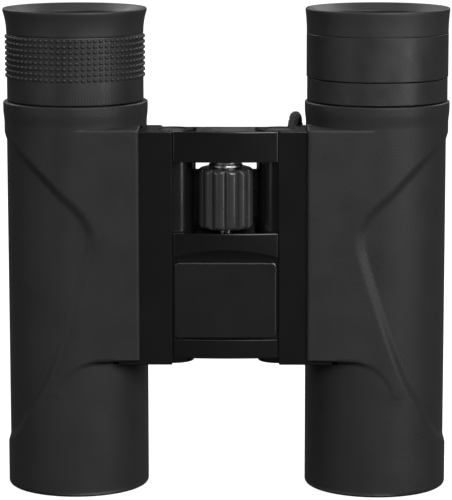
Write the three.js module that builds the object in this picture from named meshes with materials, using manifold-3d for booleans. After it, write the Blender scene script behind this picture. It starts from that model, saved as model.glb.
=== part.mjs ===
// Folding pocket binoculars with two hinges and a central focus wheel, standing on the objective rims.
// Millimetres. +Z runs from the objectives to the eyepieces, -Y is the focus wheel's side,
// and X runs across the two barrels: the user's right barrel is at -X.
import * as THREE from "three";
import { mergeVertices } from "three/addons/utils/BufferGeometryUtils.js";
import Module from "manifold-3d";

const wasm = await Module();
wasm.setup();

// ---- Driving dimensions ----
const GAP = 0.3; // between pieces that touch
const RUN = 0.08; // radial clearance of a shaft in its bore
const LARGE = 32; // sides of the barrels' round pieces
const SMALL = 16; // sides of pins, bushes and hubs

const BARREL_X = 34.3; // from the middle to each optical axis
const ARMOUR_R = 16.2;
const COLLAR_R = 16.45; // the armour's thicker end below the eyepiece
const COLLAR_Z = 84;
const ARMOUR_TOP = 88.9;
const HOUSING_R = 14.9;
const BORE_R = 14;
const HOUSING_Z = [2.2, 88.6];
const GUIDE_R = 12.9; // the housing's guide for the eyepiece tube

const HINGE_X = 12;
const HINGE_Y = -8.6;
const KNUCKLE_R = 4.8;
const PIN_R = 1.9;
const PIN_HEAD_R = 3;
const PIN_SEAT_Z = [31.8, 82.2]; // where the lower and upper pin heads sit
const ARM_FRONT_Y = -15.2; // level with the covers' edges
const ARM_BACK_Y = -4.2;
const ARM_Z = [30.6, 83.4];
const JOINT_GAP_Z = [37.5, 57.2]; // between the two knuckles of a barrel
const JOINT_GAP_R = 4;
const LIP = 1.6; // how far the housing's front reaches past the hinge axis, between the knuckles
const LUG_R = 3.6; // the bridge's own knuckles, inside that gap
const LOWER_LUG_Z = [37.8, 41.2];
const UPPER_LUG_Z = [53, 56.9];

const PAD_X = 15; // from the optical axis to the armour's flat inner edge
const PAD_Z = [31.1, 83.9];
const PAD_CORE_BACK_Y = -4.3; // back of the housing behind the flat pad

const SPINDLE_Y = -9.4;
const SPINDLE_R = 1.85;
const BUSH_R = 3.2;
const WHEEL_R = 6.3;
const WHEEL_Z = [61.1, 74.8];
const WHEEL_RIDGES = 12;

const COVER_X = 11.7;
const COVER_FRONT_Y = -16; // at the crown's middle
const COVER_EDGE_Y = -15;
const COVER_BACK_Y = -14;
const UPPER_COVER_Z = [76.6, 83.4];
const LOWER_COVER_Z = [32.1, 60.5];
const PLATE_Z = [36.7, 53.9];
const PLATE_X = 11.35;
const PLATE_Y = [-15.15, -14.75];
const PLATE_SLOPE_Z = 57.1; // where the slope above the plate meets the crown's middle

const BLOCK_X = 6.6; // half width of the bridge casting's blocks
const BLOCK_FRONT_Y = -13.7;
const WALL_X = 9.5;
const WALL_Y = [-3.4, -2.2];
const WINDOW_X = 6.9;
const WINDOW_Z = [73.5, 76.5]; // the opening behind the hub
const POCKET_Y = -2.7; // how deep the wall is thinned behind the wheel

const YOKE_Z = [47.3, 50];
const EYE_Z = [44.3, 47]; // the focus arm's eye, hanging below the yoke
const YOKE_PIN_R = 1.2;

const CELL_R = 13.75;
const CELL_Z = [4.6, 20];
const OBJECTIVE_R = 12.9;

const TUBE_R = 12.7; // eyepiece tube
const TUBE_Z = [81, 105.5];
const RING_BORE_R = 13;
const RING_Z = [89.2, 104.3];
const RING_R = 15.9;
const SPLIT_Z = 94.4; // between the left barrel's collar and its ring
const EYECUP_Z = [104.6, 110];
const EYECUP_R = 16.35;

const LUG_BAR_Y = [4.3, 7.3];
const LUG_BAR_Z = [79.6, 82.5];
const LUG_BAR_X = [14.6, 19.8]; // from the optical axis
const CORD_R = 1.2;
const LOOP_X = 16.5;
const LOOP_BEND = 4.8;
const LOOP_Y = 5.8;
const LOOP_Z = [66, 79.8]; // centres of the loop's lower and upper bends
const FERRULE_Z = [69, 75];
const FERRULE_R = 2.1;

// ---- Materials ----
const material = (color, roughness, metalness = 0) =>
  new THREE.MeshStandardMaterial({ color, roughness, metalness });
const RUBBER = material(0x2a2a2b, 0.75);
const SATIN_BLACK = material(0x161617, 0.4);
const GLOSS_BLACK = material(0x0d0d0e, 0.18);
const WHEEL_GREY = material(0x343436, 0.4);
const ALUMINIUM = material(0x9a9c9f, 0.4, 1);
const BLACK_METAL = material(0x18181a, 0.45, 0.6);
const BRASS = material(0xb28f4a, 0.35, 1);
const STEEL = material(0xa8abb0, 0.3, 1);
const CORD = material(0x161616, 0.9);
const GLASS = material(0xbfd2dc, 0.03);
GLASS.transparent = true;
GLASS.opacity = 0.35;

// ---- Solids ----
// A closed geometry as a solid, with its faces turned outwards.
function solid(geometry) {
  const bare = new THREE.BufferGeometry();
  bare.setAttribute("position", geometry.getAttribute("position").clone());
  if (geometry.index) bare.setIndex(geometry.index.clone());
  const merged = mergeVertices(bare, 1e-4);
  const place = merged.getAttribute("position");
  const corners = [0, 1, 2].map(() => new THREE.Vector3());
  const whole = [];
  let volume = 0;
  for (let i = 0; i < merged.index.count; i += 3) {
    const ids = [0, 1, 2].map((k) => merged.index.getX(i + k));
    if (ids[0] === ids[1] || ids[1] === ids[2] || ids[2] === ids[0]) continue;
    whole.push(ids);
    corners.forEach((corner, k) => corner.fromBufferAttribute(place, ids[k]));
    volume += corners[0].dot(corners[1].cross(corners[2]));
  }
  const turned = whole.map((ids) => (volume < 0 ? [ids[0], ids[2], ids[1]] : ids));
  return new wasm.Manifold(
    new wasm.Mesh({
      numProp: 3,
      vertProperties: new Float32Array(place.array),
      triVerts: new Uint32Array(turned.flat()),
    }),
  );
}

function geometryOf(made) {
  const mesh = made.getMesh();
  const geometry = new THREE.BufferGeometry();
  geometry.setAttribute("position", new THREE.BufferAttribute(mesh.vertProperties, 3));
  geometry.setIndex(new THREE.BufferAttribute(mesh.triVerts, 1));
  geometry.computeVertexNormals();
  return geometry;
}

const union = (...solids) => solids.reduce((whole, next) => whole.add(next));
const cut = (body, ...tools) => tools.reduce((rest, tool) => rest.subtract(tool), body);

// A profile of [radius, height] points, turned about a vertical axis at (x, y).
function turned(profile, sides = LARGE, x = 0, y = 0) {
  const points = profile.map(([r, z]) => new THREE.Vector2(r, z));
  const geometry = new THREE.LatheGeometry(points, sides);
  return solid(geometry.rotateX(Math.PI / 2).translate(x, y, 0));
}

const rod = (r, [low, high], sides = SMALL, x = 0, y = 0) =>
  turned([[0, low], [r, low], [r, high], [0, high]], sides, x, y);

const ring = (inner, outer, [low, high], sides = LARGE, x = 0, y = 0) =>
  turned([[inner, low], [outer, low], [outer, high], [inner, high], [inner, low]], sides, x, y);

function block([x0, x1], [y0, y1], [z0, z1]) {
  const size = [x1 - x0, y1 - y0, z1 - z0].map(Math.abs);
  const middle = [x0 + x1, y0 + y1, z0 + z1].map((sum) => sum / 2);
  return solid(new THREE.BoxGeometry(...size).translate(...middle));
}

// A rod along Y, from y0 to y1.
function crossRod(r, [y0, y1], x, z, sides = 10) {
  const geometry = new THREE.CylinderGeometry(r, r, y1 - y0, sides);
  return solid(geometry.translate(x, (y0 + y1) / 2, z));
}

const grown = ([low, high], by) => [low - by, high + by];

// ---- Assembly ----
const binoculars = new THREE.Group();

function piece(parent, name, made, finish) {
  const mesh = new THREE.Mesh(geometryOf(made), finish);
  mesh.name = name;
  parent.add(mesh);
}

// ---- Barrel pieces, about the optical axis; inward is the sign of X towards the hinge ----
const HINGE_RUN = BARREL_X - HINGE_X;
const HINGE_REACH = Math.hypot(HINGE_RUN, HINGE_Y);

// A bar that runs radially from the optical axis towards the hinge axis.
function radialBar(inward, [near, far], width, [low, high]) {
  const geometry = new THREE.BoxGeometry(far - near, width, high - low);
  geometry.translate((near + far) / 2, 0, (low + high) / 2);
  return solid(geometry.rotateZ(Math.atan2(HINGE_Y, inward * HINGE_RUN)));
}

function housing(inward) {
  const hinge = [inward * HINGE_RUN, HINGE_Y];
  const shell = union(
    rod(HOUSING_R, HOUSING_Z, LARGE),
    block([0, inward * (PAD_X - 0.6)], [-HOUSING_R, PAD_CORE_BACK_Y], grown(PAD_Z, -0.9)),
    block([inward * 10, hinge[0]], [ARM_FRONT_Y, ARM_BACK_Y], ARM_Z),
    rod(KNUCKLE_R, ARM_Z, 24, ...hinge),
  );
  const hollow = cut(
    shell,
    rod(BORE_R, [0, 100], LARGE),
    block([hinge[0] + inward * LIP, inward * 40], [-20, HINGE_Y], JOINT_GAP_Z),
    block([hinge[0], inward * 40], [HINGE_Y - 0.1, 0], JOINT_GAP_Z),
    rod(JOINT_GAP_R, JOINT_GAP_Z, 24, ...hinge),
    rod(PIN_R + RUN, [0, 100], SMALL, ...hinge),
    rod(PIN_HEAD_R + RUN, [PIN_SEAT_Z[1], 90], SMALL, ...hinge),
    rod(PIN_HEAD_R + RUN, [20, PIN_SEAT_Z[0]], SMALL, ...hinge),
    radialBar(inward, [8, HINGE_REACH], 3, grown(EYE_Z, 1.8)),
  );
  return hollow.add(ring(GUIDE_R, BORE_R + 0.4, [80, HOUSING_Z[1]]));
}

function armour(inward) {
  const skin = turned([
    [0, 0],
    [ARMOUR_R - 0.8, 0],
    [ARMOUR_R, 0.8],
    [ARMOUR_R, COLLAR_Z],
    [COLLAR_R, COLLAR_Z + 0.25],
    [COLLAR_R, ARMOUR_TOP - 0.3],
    [COLLAR_R - 0.3, ARMOUR_TOP],
    [0, ARMOUR_TOP],
  ]);
  const pad = block([0, inward * PAD_X], [-ARMOUR_R, -3], PAD_Z);
  return cut(
    skin.add(pad),
    rod(HOUSING_R + GAP, [HOUSING_Z[0] - GAP, 100], LARGE),
    rod(OBJECTIVE_R + GAP, [-1, 3], LARGE),
    block([0, inward * (PAD_X - GAP)], [-HOUSING_R - GAP, -4], grown(PAD_Z, -0.6)),
    block([inward * 9, inward * 20], [ARM_FRONT_Y - GAP, ARM_BACK_Y + GAP], grown(ARM_Z, GAP)),
    radialBar(inward, [8, HINGE_REACH], 3, grown(EYE_Z, 1.8)),
    block([inward * 12, inward * 20], grown(LUG_BAR_Y, GAP), grown(LUG_BAR_Z, GAP)),
  );
}

const strapLug = (inward) =>
  block(LUG_BAR_X.map((x) => inward * x), LUG_BAR_Y, LUG_BAR_Z);

// The prism set: a half-penta prism below and a roof prism above, with a thin air gap between.
const PRISM_Z = 56.1;
const PRISM_Y = [-6, 6];

function prism(outline) {
  const shape = new THREE.Shape(outline.map(([u, z]) => new THREE.Vector2(u, z)));
  const depth = PRISM_Y[1] - PRISM_Y[0];
  const geometry = new THREE.ExtrudeGeometry(shape, { depth, bevelEnabled: false });
  return solid(geometry.rotateX(Math.PI / 2).translate(0, PRISM_Y[1], PRISM_Z));
}

const halfPenta = (inward) =>
  prism([[-6, 0], [6, 0], [10.6, 11.1], [9, 15]].map(([u, z]) => [inward * u, z]));

const roofPrism = (inward) =>
  prism([[-6.2, 0.4], [8.4, 15], [-11.4, 15], [-11.4, 12.7]].map(([u, z]) => [inward * u, z]));

function prismCage() {
  const sides = PRISM_Y.map((y) =>
    block([-12.6, 11.6], [y + Math.sign(y) * GAP, y + Math.sign(y) * 1.8], [55, 73]),
  );
  const whole = union(rod(BORE_R - GAP, [53.5, 55.8], 24), rod(BORE_R - GAP, [71.4, 73.4], 24), ...sides);
  return cut(whole.intersect(rod(BORE_R - GAP, [50, 80], 24)), rod(5.8, [50, 80], 16));
}

const fieldStop = () => ring(5.5, BORE_R - GAP, [76, 77], 24);

function objectiveCell() {
  const [low, high] = CELL_Z;
  const seat = OBJECTIVE_R + GAP;
  const shelf = 15.4;
  return turned([
    [seat, low],
    [CELL_R, low],
    [CELL_R, high],
    [OBJECTIVE_R - 0.5, high],
    [OBJECTIVE_R - 0.5, shelf],
    [seat, shelf],
    [seat, low],
  ]);
}

// A lens of radius r whose two faces have their edges at low and high and bulge by the given sags.
function lens(r, low, high, lowSag, highSag, sides = 24) {
  const steps = [0, 0.6, 1];
  const lower = steps.map((t) => [r * t, low - lowSag * (1 - t * t)]);
  const upper = steps.map((t) => [r * t, high + highSag * (1 - t * t)]).reverse();
  return turned([...lower, ...upper], sides);
}

const objectiveCrown = () => lens(OBJECTIVE_R, 8.2, 10.4, 1.2, 1.8);
const objectiveFlint = () => lens(OBJECTIVE_R, 10.7, 15, -1.8, -0.4);
const objectiveRing = () => ring(OBJECTIVE_R - 0.6, OBJECTIVE_R, [5.6, 7.6], 24);

// From the objective cell up the barrel's inner wall, then out through the slot to the hinge axis.
function focusArm(inward) {
  const hinge = [inward * HINGE_RUN, HINGE_Y];
  const whole = union(
    radialBar(inward, [12.2, 13.5], 5, [CELL_Z[1] + GAP, EYE_Z[1]]),
    radialBar(inward, [12.2, HINGE_REACH], 2.4, EYE_Z),
    rod(3, EYE_Z, SMALL, ...hinge),
  );
  return cut(whole, rod(YOKE_PIN_R + RUN, [40, 60], 12, ...hinge));
}

function eyepieceTube() {
  const [low, high] = TUBE_Z;
  const wide = 11.3;
  const narrow = 10;
  return turned([
    [wide, low],
    [TUBE_R, low],
    [TUBE_R, high],
    [narrow, high],
    [narrow, high - 1.2],
    [wide, high - 1.2],
    [wide, 98],
    [narrow, 98],
    [narrow, 92],
    [wide, 92],
    [wide, low],
  ]);
}

const fieldLens = () => lens(11, 86.5, 89.5, 0, 2.2);
const eyeLens = () => lens(11, 98.6, 101.6, 0, 1.9);

const diopterRing = () => ring(RING_BORE_R, RING_R, RING_Z);
const eyepieceCollar = () => ring(RING_BORE_R, RING_R - 0.3, [RING_Z[0], SPLIT_Z - GAP]);
const eyepieceRing = () => ring(RING_BORE_R, RING_R + 0.2, [SPLIT_Z, RING_Z[1]]);

function eyecup() {
  const [low, high] = EYECUP_Z;
  return turned([
    [RING_BORE_R, low],
    [RING_R - 0.05, low],
    [RING_R, low + 1.4],
    [EYECUP_R, high - 0.7],
    [EYECUP_R - 0.25, high],
    [EYECUP_R - 1.6, high],
    [RING_BORE_R + 0.4, high - 1.8],
    [RING_BORE_R, low],
  ]);
}

// ---- Bridge pieces, in the middle ----
function bridgeFrame() {
  const hinges = [-HINGE_X, HINGE_X];
  const lugs = [LOWER_LUG_Z, UPPER_LUG_Z].flatMap((span) => [
    block(hinges, [HINGE_Y - 2.3, HINGE_Y + 2.3], span),
    ...hinges.map((x) => rod(LUG_R, span, SMALL, x, HINGE_Y)),
  ]);
  const blocks = [
    [LOWER_COVER_Z[0] + GAP, LOWER_LUG_Z[1]],
    [UPPER_LUG_Z[0], WHEEL_Z[0] - 0.8],
    [UPPER_COVER_Z[0] + 0.2, UPPER_COVER_Z[1] - GAP],
  ].map((span) => block([-BLOCK_X, BLOCK_X], [BLOCK_FRONT_Y, WALL_Y[1]], span));
  const wall = block([-WALL_X, WALL_X], WALL_Y, [LOWER_COVER_Z[0] + GAP, UPPER_COVER_Z[1] - GAP]);
  return cut(
    union(wall, ...blocks, ...lugs),
    block([-WINDOW_X, WINDOW_X], [-4, 0], WINDOW_Z),
    block([-WINDOW_X, WINDOW_X], [-4, POCKET_Y], [WHEEL_Z[0] - 0.3, WINDOW_Z[1]]),
    ...hinges.map((x) => rod(PIN_R + RUN, [30, 90], SMALL, x, HINGE_Y)),
    rod(BUSH_R + RUN, [70, UPPER_BUSH_Z[1] + GAP], SMALL, 0, SPINDLE_Y),
    rod(BUSH_R + RUN, [LOWER_BUSH_Z[0] - GAP, LOWER_BUSH_Z[1] + 5], SMALL, 0, SPINDLE_Y),
    rod(SPINDLE_R + GAP, [50, 82], SMALL, 0, SPINDLE_Y),
    ...SCREWS.flatMap(([x, z]) => [
      crossRod(SCREW_R + RUN, [-20, 0], x, z),
      crossRod(SCREW_HEAD_R + RUN, [SCREW_HEAD_Y - 0.1, 0], x, z),
    ]),
  );
}

const UPPER_BUSH_Z = [76.9, 80];
const LOWER_BUSH_Z = [57.2, 60.2];
const SCREWS = [[-5.2, 81.3], [5.2, 81.3], [0, 35.5]];
const SCREW_R = 0.8;
const SCREW_HEAD_R = 1.5;
const SCREW_HEAD_Y = -3.2;

const hingePin = (x, shaft, head) =>
  union(rod(PIN_R, shaft, SMALL, x, HINGE_Y), rod(PIN_HEAD_R, head, SMALL, x, HINGE_Y));

const wheelBush = (span) => ring(SPINDLE_R + RUN, BUSH_R, span, SMALL, 0, SPINDLE_Y);

const coverScrew = ([x, z]) =>
  union(
    crossRod(SCREW_R, [BLOCK_FRONT_Y, SCREW_HEAD_Y + 0.1], x, z),
    crossRod(SCREW_HEAD_R, [SCREW_HEAD_Y, WALL_Y[1] - 0.1], x, z),
  );

// A cover with a crowned front, an arc from edge to edge, and a flat back.
function crowned(halfWidth, [low, high]) {
  const sagitta = COVER_EDGE_Y - COVER_FRONT_Y;
  const radius = (halfWidth ** 2 + sagitta ** 2) / (2 * sagitta);
  const reach = Math.asin(halfWidth / radius);
  const front = [-1, -0.6, -0.2, 0.2, 0.6, 1].map((t) => {
    const y = COVER_FRONT_Y + radius - radius * Math.cos(t * reach);
    return new THREE.Vector2(radius * Math.sin(t * reach), y);
  });
  const rear = [halfWidth, -halfWidth].map((x) => new THREE.Vector2(x, COVER_BACK_Y));
  const shape = new THREE.Shape([...front, ...rear]);
  const geometry = new THREE.ExtrudeGeometry(shape, { depth: high - low, bevelEnabled: false });
  return solid(geometry.translate(0, 0, low));
}

const upperCover = () => crowned(COVER_X, UPPER_COVER_Z);

// The cover is flat where the plate lies, with a slope from there up to the crown.
function lowerCover() {
  const [low, high] = grown(PLATE_Z, GAP);
  const seat = PLATE_Y[1] + GAP;
  const outline = [[seat, low], [seat, high], [COVER_FRONT_Y - 0.1, PLATE_SLOPE_Z], [-20, PLATE_SLOPE_Z], [-20, low]];
  const shape = new THREE.Shape(outline.map(([y, z]) => new THREE.Vector2(y, z)));
  const geometry = new THREE.ExtrudeGeometry(shape, { depth: 4 * COVER_X, bevelEnabled: false });
  const flat = geometry.rotateX(Math.PI / 2).rotateZ(Math.PI / 2).translate(-2 * COVER_X, 0, 0);
  return crowned(COVER_X, LOWER_COVER_Z).subtract(solid(flat));
}

const namePlate = () => block([-PLATE_X, PLATE_X], PLATE_Y, PLATE_Z);

// ---- Focus drive ----
function focusWheel() {
  const outline = [];
  const steps = 6;
  for (let i = 0; i < WHEEL_RIDGES * steps; i++) {
    const angle = (i / (WHEEL_RIDGES * steps)) * 2 * Math.PI;
    const flute = 0.5 - 0.5 * Math.cos(angle * WHEEL_RIDGES);
    const r = WHEEL_R - 0.7 * flute ** 1.5;
    outline.push(new THREE.Vector2(r * Math.cos(angle), r * Math.sin(angle)));
  }
  const depth = WHEEL_Z[1] - WHEEL_Z[0];
  const geometry = new THREE.ExtrudeGeometry(new THREE.Shape(outline), { depth, bevelEnabled: false });
  const body = solid(geometry.translate(0, SPINDLE_Y, WHEEL_Z[0]));
  return body.subtract(rod(3 + RUN, grown(WHEEL_Z, 1), SMALL, 0, SPINDLE_Y));
}

function wheelHub() {
  const whole = union(
    rod(3, [WHEEL_Z[0], WHEEL_Z[1] + 0.6], SMALL, 0, SPINDLE_Y),
    rod(3.85, [WHEEL_Z[1] + 0.2, UPPER_COVER_Z[0] - 0.1], SMALL, 0, SPINDLE_Y),
  );
  return whole.subtract(rod(SPINDLE_R + 0.05, [50, 90], SMALL, 0, SPINDLE_Y));
}

const focusSpindle = () => rod(SPINDLE_R, [44, 79.8], SMALL, 0, SPINDLE_Y);

function focusYoke() {
  const ends = [-HINGE_X, HINGE_X];
  const whole = union(
    block(ends, [HINGE_Y - 1.8, HINGE_Y + 1.8], YOKE_Z),
    rod(4.4, YOKE_Z, SMALL, 0, SPINDLE_Y),
    ...ends.map((x) => rod(3, YOKE_Z, SMALL, x, HINGE_Y)),
  );
  return cut(
    whole,
    rod(SPINDLE_R + RUN, [40, 60], SMALL, 0, SPINDLE_Y),
    ...ends.map((x) => rod(YOKE_PIN_R + 0.05, [40, 60], 12, x, HINGE_Y)),
  );
}

const yokePin = (x) =>
  union(
    rod(YOKE_PIN_R, [EYE_Z[0] - 0.8, YOKE_Z[1]], 12, x, HINGE_Y),
    rod(1.9, [EYE_Z[0] - 0.8, EYE_Z[0] - GAP], 12, x, HINGE_Y),
  );

// ---- Strap loop: a closed run of cord over the left lug, its ends in the ferrule at the back ----
function loopRoute() {
  const [low, high] = LOOP_Z;
  const at = (angle, z) =>
    new THREE.Vector3(LOOP_X, LOOP_Y + LOOP_BEND * Math.cos(angle), z + LOOP_BEND * Math.sin(angle));
  const bends = [0, 1, 2, 3, 4, 5, 6].map((i) => (i * Math.PI) / 6);
  const back = LOOP_Y + LOOP_BEND;
  return [
    new THREE.Vector3(LOOP_X, back, FERRULE_Z[1] + GAP),
    ...bends.map((angle) => at(angle, high)),
    new THREE.Vector3(LOOP_X, LOOP_Y - LOOP_BEND, (low + high) / 2),
    ...bends.map((angle) => at(angle + Math.PI, low)),
    new THREE.Vector3(LOOP_X, back, FERRULE_Z[0] - GAP),
  ];
}

function strapLoop() {
  const path = new THREE.CatmullRomCurve3(loopRoute(), false, "centripetal");
  const section = [];
  for (let i = 0; i < 8; i++) {
    const angle = (i * Math.PI) / 4;
    section.push(new THREE.Vector2(CORD_R * Math.cos(angle), CORD_R * Math.sin(angle)));
  }
  const options = { steps: 24, extrudePath: path, bevelEnabled: false };
  return solid(new THREE.ExtrudeGeometry(new THREE.Shape(section), options));
}

const ferrule = () => rod(FERRULE_R, FERRULE_Z, 12, LOOP_X, LOOP_Y + LOOP_BEND);

// ---- The whole object ----
const bridge = new THREE.Group();
binoculars.add(bridge);
piece(bridge, "bridge_frame", bridgeFrame(), SATIN_BLACK);
piece(bridge, "upper_cover", upperCover(), GLOSS_BLACK);
piece(bridge, "lower_cover", lowerCover(), GLOSS_BLACK);
piece(bridge, "name_plate", namePlate(), GLOSS_BLACK);
piece(bridge, "upper_wheel_bush", wheelBush(UPPER_BUSH_Z), BRASS);
piece(bridge, "lower_wheel_bush", wheelBush(LOWER_BUSH_Z), BRASS);
SCREWS.forEach((place, i) => piece(bridge, `cover_screw_${i + 1}`, coverScrew(place), STEEL));

piece(bridge, "focus_wheel", focusWheel(), WHEEL_GREY);
piece(bridge, "wheel_hub", wheelHub(), ALUMINIUM);
piece(bridge, "focus_spindle", focusSpindle(), STEEL);
piece(bridge, "focus_yoke", focusYoke(), BRASS);

for (const [side, inward] of [["right", 1], ["left", -1]]) {
  const hingeX = -inward * HINGE_X;
  const upper = hingePin(hingeX, [UPPER_LUG_Z[0] + 0.2, 83], [PIN_SEAT_Z[1] + 0.1, ARM_Z[1] - 0.1]);
  const lower = hingePin(hingeX, [31, LOWER_LUG_Z[1] - 0.2], [ARM_Z[0] + 0.1, PIN_SEAT_Z[0] - 0.1]);
  piece(bridge, `${side}_upper_hinge_pin`, upper, STEEL);
  piece(bridge, `${side}_lower_hinge_pin`, lower, STEEL);
  piece(bridge, `${side}_yoke_pin`, yokePin(hingeX), STEEL);

  const barrel = new THREE.Group();
  barrel.position.x = -inward * BARREL_X;
  binoculars.add(barrel);
  piece(barrel, `${side}_barrel_housing`, housing(inward), SATIN_BLACK);
  piece(barrel, `${side}_armour`, armour(inward), RUBBER);
  piece(barrel, `${side}_strap_lug`, strapLug(inward), BLACK_METAL);
  piece(barrel, `${side}_prism_cage`, prismCage(), BLACK_METAL);
  piece(barrel, `${side}_half_penta_prism`, halfPenta(inward), GLASS);
  piece(barrel, `${side}_roof_prism`, roofPrism(inward), GLASS);
  piece(barrel, `${side}_field_stop`, fieldStop(), BLACK_METAL);
  piece(barrel, `${side}_objective_cell`, objectiveCell(), BLACK_METAL);
  piece(barrel, `${side}_objective_crown`, objectiveCrown(), GLASS);
  piece(barrel, `${side}_objective_flint`, objectiveFlint(), GLASS);
  piece(barrel, `${side}_objective_ring`, objectiveRing(), BLACK_METAL);
  piece(barrel, `${side}_focus_arm`, focusArm(inward), STEEL);
  piece(barrel, `${side}_eyepiece_tube`, eyepieceTube(), BLACK_METAL);
  piece(barrel, `${side}_field_lens`, fieldLens(), GLASS);
  piece(barrel, `${side}_eye_lens`, eyeLens(), GLASS);
  piece(barrel, `${side}_eyecup`, eyecup(), RUBBER);
  if (side === "right") {
    piece(barrel, "diopter_ring", diopterRing(), RUBBER);
  } else {
    piece(barrel, "eyepiece_collar", eyepieceCollar(), SATIN_BLACK);
    piece(barrel, "eyepiece_ring", eyepieceRing(), RUBBER);
  }
}

piece(binoculars, "strap_loop", strapLoop(), CORD);
piece(binoculars, "loop_ferrule", ferrule(), BLACK_METAL);

export default binoculars;
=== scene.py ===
# Folding pocket binoculars, standing on the objective rims. Lengths are in millimetres until a
# mesh is made: +Z runs up to the eyepieces, -Y is the focus wheel's side, and the user's right
# barrel is at -X.
import math

import bmesh
import bpy
import numpy as np
from mathutils import Euler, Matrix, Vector


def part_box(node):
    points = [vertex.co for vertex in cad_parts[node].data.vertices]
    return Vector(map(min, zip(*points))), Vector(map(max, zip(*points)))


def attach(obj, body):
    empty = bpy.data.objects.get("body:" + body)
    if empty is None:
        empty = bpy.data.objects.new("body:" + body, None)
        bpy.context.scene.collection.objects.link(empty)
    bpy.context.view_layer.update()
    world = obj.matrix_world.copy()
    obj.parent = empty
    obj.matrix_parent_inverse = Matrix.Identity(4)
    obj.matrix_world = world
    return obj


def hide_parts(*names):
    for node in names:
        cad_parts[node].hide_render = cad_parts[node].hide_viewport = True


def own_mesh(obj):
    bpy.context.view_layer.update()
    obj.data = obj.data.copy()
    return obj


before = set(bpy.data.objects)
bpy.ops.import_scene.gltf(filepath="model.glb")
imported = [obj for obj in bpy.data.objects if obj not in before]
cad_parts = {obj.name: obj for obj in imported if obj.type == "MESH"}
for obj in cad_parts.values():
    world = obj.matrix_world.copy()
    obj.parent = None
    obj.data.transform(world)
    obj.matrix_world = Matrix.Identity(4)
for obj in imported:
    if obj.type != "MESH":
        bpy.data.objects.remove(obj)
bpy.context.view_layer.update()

MM = 0.001
X, Y, Z = range(3)


def extent(node, axis):
    """The lowest and highest place of a CAD node along an axis."""
    low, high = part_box(node)
    return low[axis] / MM, high[axis] / MM


def middle(node, axis):
    return sum(extent(node, axis)) / 2


# ---- Driving dimensions, from the frame ----
BARREL_X = middle("left_objective_cell", X)
HINGE_X = middle("left_upper_hinge_pin", X)
HINGE_Y = middle("left_upper_hinge_pin", Y)
SPINDLE_Y = middle("focus_spindle", Y)
COLLAR_R = -extent("left_armour", Y)[0]
ARMOUR_R = COLLAR_R - 0.25
ARMOUR_TOP = extent("left_armour", Z)[1]
ARM_RISE = 28.4  # from the housing's lower end to the arm's
ARM_Z = extent("left_barrel_housing", Z)[0] + ARM_RISE, extent("upper_cover", Z)[1]
PAD_Z = 31.1, 83.9
PAD_X = {-1: 15.0, 1: 16.0}  # from the optical axis to the armour's flat inner edge
TUBE_OUTER = 14.9
TUBE_INNER = 14.0
GAP = 0.3

SIDES = {"right": -1, "left": 1}  # the sign of each barrel's X


# ---- Camera ----
camera = bpy.data.objects.new("camera", bpy.data.cameras.new("camera"))
bpy.context.scene.collection.objects.link(camera)
bpy.context.scene.camera = camera
camera.data.lens = 195.3
camera.data.sensor_width = 36
camera.data.clip_start = 0.05
camera.data.clip_end = 60
camera.location = (0.0087, -0.6142, 0.1555)
CAMERA_YAW = 0.0141
CAMERA_PITCH = -0.1632
camera.rotation_euler = Euler((math.pi / 2 + CAMERA_PITCH, 0.0013, CAMERA_YAW))


# ---- Materials ----
def surface(name, tone, roughness, metallic=0.0, mottle=0.12, mottle_scale=350.0,
            grain=0.0, grain_scale=3000.0, pores=0.0, rings=0.0, uneven=0.08, **sockets):
    """A finish whose tone and roughness drift a little, with a fine grain, pores or turning marks."""
    material = bpy.data.materials.new(name)
    material.use_nodes = True
    nodes, links = material.node_tree.nodes, material.node_tree.links
    shader = nodes["Principled BSDF"]
    shader.inputs["Metallic"].default_value = metallic
    for socket, value in sockets.items():
        shader.inputs[socket.replace("_", " ")].default_value = value
    place = nodes.new("ShaderNodeTexCoord").outputs["Object"]

    drift = nodes.new("ShaderNodeTexNoise")
    drift.inputs["Scale"].default_value = mottle_scale
    drift.inputs["Detail"].default_value = 4
    links.new(place, drift.inputs["Vector"])
    colour = nodes.new("ShaderNodeMix")
    colour.data_type = "RGBA"
    colour.inputs["A"].default_value = (*[c * (1 - mottle) for c in tone], 1)
    colour.inputs["B"].default_value = (*[c * (1 + mottle) for c in tone], 1)
    links.new(drift.outputs["Fac"], colour.inputs["Factor"])
    links.new(colour.outputs["Result"], shader.inputs["Base Color"])

    gloss = nodes.new("ShaderNodeMapRange")
    gloss.inputs["From Min"].default_value = 0.3
    gloss.inputs["From Max"].default_value = 0.7
    gloss.inputs["To Min"].default_value = max(roughness - uneven, 0.01)
    gloss.inputs["To Max"].default_value = roughness + uneven
    links.new(drift.outputs["Fac"], gloss.inputs["Value"])
    links.new(gloss.outputs["Result"], shader.inputs["Roughness"])

    heights = []
    if grain:
        fine = nodes.new("ShaderNodeTexNoise")
        fine.inputs["Scale"].default_value = grain_scale
        fine.inputs["Detail"].default_value = 3
        links.new(place, fine.inputs["Vector"])
        heights.append((fine.outputs["Fac"], grain))
    if pores:
        cells = nodes.new("ShaderNodeTexVoronoi")
        cells.inputs["Scale"].default_value = grain_scale * 0.8
        links.new(place, cells.inputs["Vector"])
        heights.append((cells.outputs["Distance"], pores))
    if rings:
        lathe = nodes.new("ShaderNodeTexWave")
        lathe.bands_direction = "Z"
        lathe.inputs["Scale"].default_value = 1500
        lathe.inputs["Distortion"].default_value = 0.6
        links.new(place, lathe.inputs["Vector"])
        heights.append((lathe.outputs["Fac"], rings))
    normal = None
    for height, strength in heights:
        bump = nodes.new("ShaderNodeBump")
        bump.inputs["Strength"].default_value = strength
        bump.inputs["Distance"].default_value = 0.0001
        links.new(height, bump.inputs["Height"])
        if normal:
            links.new(normal, bump.inputs["Normal"])
        normal = bump.outputs["Normal"]
    if normal:
        links.new(normal, shader.inputs["Normal"])
    return material


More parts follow.
